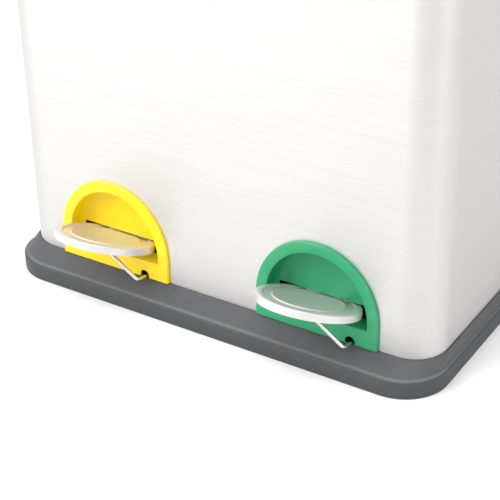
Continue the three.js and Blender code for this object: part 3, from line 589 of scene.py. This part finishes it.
def addHooks(bm, x):
    # snap hooks behind the steel, one at each side and one at the crown
    near = steelBody["front"] + steelBody["sheet"] + surround["hookGap"]
    far, half = near + surround["hookThickness"], surround["hookWidth"] / 2
    reach = surround["hookReach"] - surround["cutOutInset"]
    root = surround["wall"] - surround["band"] - surround["runIn"]
    outer, inner = surround["width"] / 2 + reach, surround["width"] / 2 + root
    spring = tray["top"] + surround["straight"]
    for x0, x1 in ((x - outer, x - inner), (x + inner, x + outer)):
        addBlock(bm, x0, x1, near, far, spring - half, spring + half, surround["hookEdge"])
    crown = spring + surround["rise"]
    addBlock(bm, x - half, x + half, near, far, crown + root, crown + reach,
             surround["hookEdge"])


def addEars(bm, x):
    # two ears that hang behind the slot and carry the pedal's hinge pin
    root = steelBody["front"] + surround["depth"] + surround["wall"] - surround["runIn"]
    hinge = steelBody["front"] + surround["hingeSetback"]
    ahead, behind = hinge - surround["earFront"], hinge + surround["earBack"]
    low, chamfer = surround["hingeHeight"] - surround["earDrop"], surround["earChamfer"]
    outline = [(root, surround["earRoot"]), (ahead, surround["earRoot"]),
               (ahead, low + chamfer), (ahead + chamfer, low), (behind - chamfer, low),
               (behind, low + chamfer), (behind, surround["earShoulder"]),
               (root, surround["earTop"])]
    inner, outer = surround["earInner"], surround["earInner"] + surround["earThickness"]
    addSlab(bm, outline, x - outer, x - inner)
    addSlab(bm, outline, x + inner, x + outer)


def surroundEdge(bm, x, face):
    # the arch's rounded outer side, whose last line lies in the face
    chains = [archChain(bm, x, 0, steelBody["front"] - surround["standOff"], surround["foot"])]
    for inset, below in roundingSteps(surround["edgeRadius"], surround["edgeSteps"]):
        chains.append(archChain(bm, x, inset, face + below, surround["foot"]))
    skin(bm, chains)
    return chains[-1]


def surroundRecess(bm, x, face, back):
    # the recess, from its rounded mouth to its back wall; returns the mouth's loop in the face
    loops = []
    for inset, below in reversed(roundingSteps(surround["mouthRadius"], surround["mouthSteps"])):
        loops.append(archLoop(bm, x, surround["band"] - inset, face + below,
                              surround["floor"] - inset))
    for inset, below in roundingSteps(surround["fillet"], surround["filletSteps"]):
        loops.append(archLoop(bm, x, surround["band"] + inset, back + surround["fillet"] - below,
                              surround["floor"]))
    skin(bm, loops, capLast=True)
    return loops[0]


def fillFace(bm, x, face, chain, mouth):
    # the flat front between them, with the wire's notch at its foot
    notchX, half = x + surround["notchOffset"], surround["notchWidth"] / 2
    shoulder = tray["top"] + surround["notchHeight"] - half
    left, right = archFeet(chain)
    before = set(bm.edges)
    low = [bm.verts.new((notchX + hand * half, face, surround["foot"])) for hand in (-1, 1)]
    high = [bm.verts.new((notchX + hand * half, face, shoulder)) for hand in (-1, 1)]
    for pair in ((left, low[0]), (low[0], high[0]), (high[1], low[1]), (low[1], right)):
        bm.edges.new(pair)
    bmesh.ops.spin(bm, geom=[high[1]], cent=(notchX, face, shoulder), axis=(0, -1, 0),
                   angle=math.pi, steps=surround["notchSteps"])
    flat = chain + mouth + newEdges(bm, before)
    bmesh.ops.remove_doubles(bm, verts=unique(v for e in flat for v in e.verts), dist=weld)
    rims = [e for e in bm.edges if not e.is_manifold
            and all(abs(v.co.y - face) < touch for v in e.verts)]
    bmesh.ops.triangle_fill(bm, edges=rims, use_beauty=True, normal=(0, -1, 0))


def cutSlot(bm, x, back):
    # the slot that the pedal comes through, in the recess's back wall
    half, foot = surround["slotHalfWidth"], surround["floor"]
    top = foot + surround["slotHeight"]
    for place, normal in (((0, 0, top), (0, 0, 1)), ((x - half, 0, 0), (1, 0, 0)),
                          ((x + half, 0, 0), (1, 0, 0))):
        near = [f for f in bm.faces if f.calc_center_median().y > back - surround["slotMargin"]]
        parts = near + unique(e for f in near for e in f.edges)
        parts += unique(v for f in near for v in f.verts)
        bmesh.ops.bisect_plane(bm, geom=parts, plane_co=place, plane_no=normal)
    slot = []
    for wall in bm.faces:
        middle = wall.calc_center_median()
        if middle.y > back and foot + touch < middle.z < top and abs(middle.x - x) < half:
            slot.append(wall)
    bmesh.ops.delete(bm, geom=slot, context="FACES")


def makeSurround(side):
    bm = bmesh.new()
    x = pedalX(side)
    face = steelBody["front"] - surround["proud"]
    back = steelBody["front"] + surround["depth"] - surround["fillet"]
    chain = surroundEdge(bm, x, face)
    mouth = surroundRecess(bm, x, face, back)
    fillFace(bm, x, face, chain, mouth)
    cutSlot(bm, x, back)
    thicken(bm, surround["wall"])
    addHooks(bm, x)
    addEars(bm, x)
    finishPiece(f"pedalSurround.{side}", bm, materials[side], "bin", [f"pedal_surround_{side}"],
                surround["sharpAngle"])


for side in sides:
    makeSurround(side)


def makeBody():
    bm = bmesh.new()
    segments = steelBody["cornerSegments"]
    skin(bm, [bodyLoop(bm, 0, steelBody[end], segments) for end in ("foot", "top")])
    # the four flats get a narrow edge, and the front one a window for each surround
    flats = sorted(bm.faces, key=lambda f: -f.calc_area())[:4]
    bmesh.ops.inset_individual(bm, faces=flats, thickness=steelBody["flatInset"],
                               use_even_offset=True)
    front = min((f for f in bm.faces if f.calc_area() > steelBody["flatArea"]),
                key=lambda f: f.calc_center_median().y)
    rim = list(front.edges)
    bmesh.ops.delete(bm, geom=[front], context="FACES_ONLY")
    for side in sides:
        rim += archLoop(bm, pedalX(side), surround["cutOutInset"], steelBody["front"],
                        surround["cutOutFoot"])
    bmesh.ops.triangle_fill(bm, edges=rim, use_beauty=True, normal=(0, -1, 0))
    thicken(bm, steelBody["sheet"])
    # the flat lap down the back where the sheet's ends meet
    half, gap, rear = steelBody["seamWidth"] / 2, steelBody["seamGap"], steelBody["rear"]
    addBlock(bm, -half, half, rear - steelBody["seamSink"], rear + steelBody["seamHeight"],
             tray["top"] + gap, steelBody["top"] - steelBody["flangeDrop"] - gap,
             steelBody["seamEdge"])
    finishPiece("bodyWrap", bm, materials["steel"], "bin", ["body_wrap"],
                steelBody["sharpAngle"])


makeBody()


pedal = {
    "radius": 43.3, "thickness": 1.2, "rimHeight": 6.2, "edgeRadius": 1.6, "tilt": 20.4,
    "reach": 35.9, "rise": 2.55,
    "grooveOuter": 37.4, "grooveInner": 30.6, "grooveDepth": 0.9, "grooveSlope": 0.7,
    "grooveEdge": 0.3, "centreDepth": 0.5,
    # (in from the groove, up) over the fine bead round the sunk centre
    "bead": [(2.2, 0), (1.5, 0.35), (0.8, 0)],
    "tongueHalfWidth": 22, "tongueLap": 0.5, "tongueSink": 0.02, "discEnd": 4.2,
    "barrelRadius": 3.1, "barrelTurn": 300, "barrelSteps": 28, "softEdge": 0.25, "steps": 128,
    "grooveSegments": 3, "edgeSegments": 6, "sharpAngle": 30,
}


def turnedDisc(bm):
    # the whole disc about its own middle, with its ring steps and its rim's edge rounded
    radius, centre = pedal["radius"], -pedal["centreDepth"]
    inner, outer = pedal["grooveInner"], pedal["grooveOuter"]
    slope = outer - pedal["grooveSlope"]
    outline = [(0, centre)] + [(inner - inset, centre + up) for inset, up in pedal["bead"]]
    outline += [(inner, -pedal["grooveDepth"]), (slope, -pedal["grooveDepth"]), (outer, 0),
                (radius, 0), (radius, -pedal["rimHeight"])]
    addTurned(bm, [(r, 0, z) for r, z in outline], pedal["steps"], closed=False)
    bmesh.ops.remove_doubles(bm, verts=bm.verts, dist=weld)

    def isRing(edge, *radii):
        return all(any(abs(v.co.xy.length - r) < touch for r in radii) for v in edge.verts)

    edges = [e for e in bm.edges
             if isRing(e, radius) and all(abs(v.co.z) < touch for v in e.verts)]
    steps = [e for e in bm.edges if isRing(e, inner, slope, outer)
             and abs(e.verts[0].co.z - e.verts[1].co.z) < touch]
    roundEdges(bm, steps, pedal["grooveEdge"], pedal["grooveSegments"])
    roundEdges(bm, edges, pedal["edgeRadius"], pedal["edgeSegments"])


def addTongue(bm):
    # it runs on from the disc's sunk centre and rolls round the hinge pin
    half, barrel = pedal["tongueHalfWidth"], pedal["barrelRadius"]
    level = pedal["rise"] - pedal["centreDepth"]
    start, low = -pedal["discEnd"] - pedal["tongueLap"], level - pedal["tongueSink"]
    end = -barrel * math.sin(math.acos(level / barrel))
    corners = [bm.verts.new(place) for place in (
        (-half, start, low), (half, start, low), (half, end, level), (-half, end, level))]
    bm.faces.new(corners)
    bmesh.ops.spin(bm, geom=[corners[2], corners[3], bm.edges.get(corners[2:])], cent=(0, 0, 0),
                   axis=(-1, 0, 0), angle=math.radians(pedal["barrelTurn"]),
                   steps=pedal["barrelSteps"])


def makePedal(side):
    bm = bmesh.new()
    turnedDisc(bm)
    # from here on the hinge pin is the origin
    bmesh.ops.translate(bm, vec=(0, -pedal["reach"], pedal["rise"]), verts=bm.verts)
    bmesh.ops.bisect_plane(bm, geom=bm.verts[:] + bm.edges[:] + bm.faces[:],
                           plane_co=(0, -pedal["discEnd"], 0), plane_no=(0, 1, 0), clear_outer=True)
    addTongue(bm)
    place = Matrix.Translation((pedalX(side), steelBody["front"] + surround["hingeSetback"],
                                surround["hingeHeight"]))
    turn = Matrix.Rotation(math.radians(-pedal["tilt"]), 4, "X")
    bmesh.ops.transform(bm, matrix=place @ turn, verts=bm.verts)
    finishPiece(f"pedalDisc.{side}", bm, materials["disc"], f"pedal_{side}",
                [f"pedal_disc_{side}"], pedal["sharpAngle"], pedal["thickness"],
                pedal["softEdge"])


for side in sides:
    makePedal(side)


crank = {
    "radius": 1.7, "bend": 4.5, "offset": 33, "height": 26.8, "elbowProud": 14,
    "tipForward": 10, "tipLength": 9, "tipHeight": 61.0, "legEnd": 125.9, "rearTip": 14,
    "armRun": 33.19, "armDrop": 7.36,
    # a Bezier handle's share of the bend, how finely the wire is drawn, and its rounded ends
    "handleShare": 0.55, "roundSteps": 5, "bendSteps": 10, "endRound": 0.25, "endSegments": 3,
    "sharpAngle": 50,
}


def makeWire(name, corners, radius, bend, material, body, nodes):
    # a round wire through corner points, each corner drawn to the bend radius
    curve = bpy.data.curves.new(name, "CURVE")
    curve.dimensions = "3D"
    curve.bevel_depth, curve.bevel_resolution = radius * metre, crank["roundSteps"]
    curve.resolution_u = crank["bendSteps"]
    curve.use_fill_caps = True
    stations = [(corners[0], corners[1], 0.0)]
    for before, corner, after in zip(corners, corners[1:], corners[2:]):
        toward, away = before - corner, after - corner
        turn = math.pi - toward.angle(away)
        trim = min(bend * math.tan(turn / 2), toward.length / 2, away.length / 2)
        handle = trim * crank["handleShare"]
        for ray in (toward, away):
            point = corner + ray.normalized() * trim
            stations.append((point, corner, handle))
    stations.append((corners[-1], corners[-2], 0.0))
    spline = curve.splines.new("BEZIER")
    spline.bezier_points.add(len(stations) - 1)
    for number, (knot, station) in enumerate(zip(spline.bezier_points, stations)):
        point, corner, handle = station
        inward = (corner - point).normalized() * handle
        knot.handle_left_type = knot.handle_right_type = "FREE"
        # of a bend's two stations the first has its corner ahead, the second behind
        ahead, behind = (inward, -inward) if number % 2 == 1 else (-inward, inward)
        knot.co = point * metre
        knot.handle_right = (point + ahead) * metre
        knot.handle_left = (point + behind) * metre
    path = bpy.data.objects.new(name, curve)
    bpy.context.scene.collection.objects.link(path)
    mesh = bpy.data.meshes.new_from_object(path)
    bpy.data.objects.remove(path)
    bm = bmesh.new()
    bm.from_mesh(mesh)
    bpy.data.meshes.remove(mesh)
    bmesh.ops.scale(bm, vec=(1 / metre,) * 3, verts=bm.verts)
    bmesh.ops.remove_doubles(bm, verts=bm.verts, dist=weld / 2)
    # the two end caps are the only faces with more than four corners
    rims = [e for e in bm.edges if len(e.link_faces) == 2
            and max(len(f.verts) for f in e.link_faces) > 4]
    roundEdges(bm, rims, radius * crank["endRound"], crank["endSegments"])
    finishPiece(name, bm, material, body, nodes, crank["sharpAngle"])


def makeCrank(side):
    x = pedalX(side)
    axisX, elbowY = x + crank["offset"], steelBody["front"] - crank["elbowProud"]
    tipY = elbowY - crank["tipForward"]
    rearX, rearZ = axisX + crank["armRun"], crank["height"] - crank["armDrop"]
    corners = [Vector(place) for place in (
        (x, tipY - crank["tipLength"], crank["tipHeight"]),
        (x, tipY, crank["tipHeight"]),
        (axisX, elbowY, crank["height"]),
        (axisX, crank["legEnd"], crank["height"]),
        (rearX, crank["legEnd"], rearZ),
        (rearX, crank["legEnd"] + crank["rearTip"], rearZ))]
    makeWire(f"crankWire.{side}", corners, crank["radius"], crank["bend"], materials["wire"],
             f"crank_{side}", [f"crank_wire_{side}"])


for side in sides:
    makeCrank(side)


lid = {
    "foot": 450.6, "skirt": 13, "edgeRadius": 3, "shell": 2.2, "crown": 4.4, "border": 7,
    "borderRise": 0.6, "plate": 0.9, "seat": 0.06, "split": 1.6, "sideOverhang": 1.8,
    "frontOverhang": 4, "rear": 133.5, "cornerRadius": 31, "innerCorner": 7, "crownSteps": 12,
    "cornerShare": 0.9, "footChamfer": 0.3, "footEdge": 0.5, "edgeSteps": 7,
    # (out from the plate's border, down) round the border's inner edge
    "borderRound": [(0.7, 0.04), (0.2, 0.3)], "plateBevel": 0.35, "plateDrop": 0.3,
    "hingeY": 141.5, "hingeZ": 457, "knuckleWidth": 12, "knuckleRadius": 5, "bore": 1.9,
    "knuckleEdge": 0.4, "knuckleSteps": 40,
    "armReach": 1, "armFoot": 0.3, "armTaper": 1.2, "armInset": 0.2,
    "rodInset": 35.1, "lugWidth": 10, "lugSlope": 40, "lugRoot": 5, "lugFar": 13.6, "lugTop": 1,
    "underRound": 0.3, "cornerSegments": 16, "sharpAngle": 30,
}


def lidLoop(bm, side, inset, z, swell=0.0):
    # the lid's outline, wide at the bin's own corner and tight at the split and the rear
    outer, inner = steelBody["halfWidth"] + lid["sideOverhang"], lid["split"] / 2
    ends = sorted((sides[side] * outer, sides[side] * inner))
    box = shrunk((*ends, steelBody["front"] - lid["frontOverhang"], lid["rear"]), inset)
    most = lid["cornerShare"] * min(box[1] - box[0], box[3] - box[2]) / 2
    wide = min(most, max(lid["cornerRadius"] - inset, 1) + swell)
    tight = min(most, max(lid["innerCorner"] - inset, 1) + swell)
    radii = [tight, tight, wide, tight] if sides[side] < 0 else [tight, tight, tight, wide]
    return roundedLoop(bm, box, radii, z, lid["cornerSegments"])


def crownLoops(bm, side, start, lift):
    # loops of the crowned top, from the border inwards, whose corners open out on the way
    reach = steelBody["halfWidth"] / 2
    loops = []
    for step in range(lid["crownSteps"]):
        share = step / lid["crownSteps"]
        inset = start + share * (reach - start)
        rise = lid["crown"] * (1 - (1 - share) ** 2)
        top = lid["foot"] + lid["skirt"] + lift + rise
        loops.append(lidLoop(bm, side, inset, top, share * reach * lid["cornerShare"]))
    return loops


def addKnuckle(bm, side, number):
    # the eye round a hinge pin, and the arm that joins it to the lid's rear wall
    low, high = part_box(f"lid_pin_{side}_{number}")
    middle = (low[0] + high[0]) / 2 / metre
    x0, x1 = middle - lid["knuckleWidth"] / 2, middle + lid["knuckleWidth"] / 2
    y, z, radius, bore = lid["hingeY"], lid["hingeZ"], lid["knuckleRadius"], lid["bore"]
    edge = lid["knuckleEdge"]
    outline = [(x0, bore), (x0, radius - edge), (x0 + edge, radius), (x1 - edge, radius),
               (x1, radius - edge), (x1, bore)]
    addTurned(bm, [(x, y, z + r) for x, r in outline], lid["knuckleSteps"], (1, 0, 0), (0, y, z))
    root, reach = lid["rear"] - lid["shell"] / 2, y - bore - lid["armReach"]
    taper, top = lid["armTaper"], lid["foot"] + lid["skirt"] - lid["edgeRadius"]
    addSlab(bm, [(root, z - radius + lid["armFoot"]), (reach, z - radius + taper),
                 (reach, z + radius - taper), (root, top)],
            x0 + lid["armInset"], x1 - lid["armInset"])


def addLug(bm, side):
    # the wedge under the lid that the push rod lifts
    x = sides[side] * (steelBody["halfWidth"] - lid["rodInset"])
    y, z, half = lid["hingeY"], lid["hingeZ"], lid["lugWidth"] / 2
    slope = math.tan(math.radians(lid["lugSlope"]))
    root, far = lid["lugRoot"], lid["lugFar"]
    addSlab(bm, [(y - root, z - root * slope), (y - root, z + lid["lugTop"]),
                 (y - far, z + lid["lugTop"]), (y - far, z - far * slope)], x - half, x + half)


def makeLidShell(side):
    bm = bmesh.new()
    foot, edge, shell = lid["foot"], lid["edgeRadius"], lid["shell"]
    top, chamfer, under = foot + lid["skirt"], lid["footChamfer"], edge * lid["underRound"]
    seat = lid["borderRise"] - lid["plate"] - lid["seat"]
    # the underside from its middle outwards, round the foot, and back in over the top
    profile = crownLoops(bm, side, lid["border"] + shell, seat - shell)[::-1]
    profile += [lidLoop(bm, side, shell + edge, top - shell),
                lidLoop(bm, side, shell + under, top - shell - under),
                lidLoop(bm, side, shell, top - edge), lidLoop(bm, side, shell, foot + chamfer),
                lidLoop(bm, side, shell - chamfer, foot),
                lidLoop(bm, side, lid["footEdge"], foot),
                lidLoop(bm, side, 0, foot + lid["footEdge"])]
    profile += [lidLoop(bm, side, inset, top - below)
                for inset, below in roundingSteps(edge, lid["edgeSteps"])]
    profile += [lidLoop(bm, side, lid["border"] - out, top + lid["borderRise"] - below)
                for out, below in lid["borderRound"]]
    profile += crownLoops(bm, side, lid["border"], seat)
    skin(bm, profile, True, True)
    for number in (1, 2):
        addKnuckle(bm, side, number)
    addLug(bm, side)
    finishPiece(f"lidShell.{side}", bm, materials["black"], f"lid_{side}", [f"lid_shell_{side}"],
                lid["sharpAngle"])


def makeLidPlate(side):
    bm = bmesh.new()
    start = lid["border"] + lid["seat"]
    under = crownLoops(bm, side, start, lid["borderRise"] - lid["plate"])
    over = crownLoops(bm, side, start + lid["plateBevel"], lid["borderRise"])
    rim = lidLoop(bm, side, start, lid["foot"] + lid["skirt"] + lid["borderRise"]
                  - lid["plateDrop"])
    skin(bm, under[::-1] + [rim] + over, True, True)
    finishPiece(f"lidPlate.{side}", bm, materials["lidSteel"], f"lid_{side}",
                [f"lid_plate_{side}"], lid["sharpAngle"])


for side in sides:
    makeLidShell(side)
    makeLidPlate(side)


bucket = {
    "foot": 72.3, "lipFoot": 450.3, "lip": 3, "lipThickness": 2.4, "lipDrop": 4, "wall": 2,
    "floor": 2.5, "cornerRadius": 25, "footRadius": 21, "footInset": 3, "footRise": 5,
    "taperWidth": 13, "taperDepth": 22, "inner": 8.5, "outerInset": 9, "front": 11,
    "rear": 114.5, "lipFootEdge": 0.6, "lipEdge": 0.8, "mouthEdge": 0.7, "edgeSteps": 4,
    # (in, up) as shares of the foot's inset and rise, half way round the foot
    "footMiddle": (0.3, 0.4), "cornerSegments": 14, "sharpAngle": 30,
}


def bucketLoop(bm, side, share, inset, z, radius):
    # share 0 is the narrow foot, 1 the wide mouth
    inner, outer = bucket["inner"], steelBody["halfWidth"] - bucket["outerInset"]
    ends = sorted((sides[side] * inner, sides[side] * outer))
    narrowX = bucket["taperWidth"] / 2 * (1 - share)
    narrowY = bucket["taperDepth"] / 2 * (1 - share)
    box = (ends[0] + narrowX + inset, ends[1] - narrowX - inset,
           steelBody["front"] + bucket["front"] + narrowY + inset,
           bucket["rear"] - narrowY - inset)
    return roundedLoop(bm, box, [radius - inset] * 4, z, bucket["cornerSegments"])


def makeBucket(side):
    bm = bmesh.new()
    foot, wall, lip = bucket["foot"], bucket["wall"], bucket["lip"]
    corner, low, inset = bucket["cornerRadius"], bucket["footRadius"], bucket["footInset"]
    rise, lipFoot, edge = bucket["footRise"], bucket["lipFoot"], bucket["lipFootEdge"]
    lipTop, straight = lipFoot + bucket["lipThickness"], steelBody["top"] - bucket["lipDrop"]
    floor, steps = foot + bucket["floor"], bucket["edgeSteps"]
    inward, upward = bucket["footMiddle"]
    # up the outside, over the lip and down the inside
    rings = [(0, inset, foot, low), (0, inset * inward, foot + rise * upward, low),
             (0, 0, foot + rise, low), (1, 0, straight, corner), (1, 0, lipFoot, corner),
             (1, edge - lip, lipFoot, corner), (1, -lip, lipFoot + edge, corner)]
    rings += [(1, far - lip, lipTop - below, corner)
              for far, below in roundingSteps(bucket["lipEdge"], steps)]
    rings += [(1, wall - far, lipTop - below, corner)
              for far, below in roundingSteps(bucket["mouthEdge"], steps)[::-1]]
    rings += [(1, wall, straight, corner), (0, wall, floor + rise, low),
              (0, wall + inset * inward, floor + rise * upward, low),
              (0, wall + inset, floor, low)]
    skin(bm, [bucketLoop(bm, side, *ring) for ring in rings], True, True)
    finishPiece(f"bucket.{side}", bm, materials["bucket"], "bin", [f"bucket_{side}"],
                bucket["sharpAngle"])


for side in sides:
    makeBucket(side)


keptFinishes = {
    "inner_deck": "black", "crank_saddle": "black", "rod_guide": "black", "push_rod": "wire",
    "pedal_pin": "wire", "lid_pin": "wire", "top_frame": "black",
}
for name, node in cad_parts.items():
    for start, finish in keptFinishes.items():
        if name.startswith(start):
            for slot in node.material_slots:
                slot.material = materials[finish]
print("kept pieces finished")
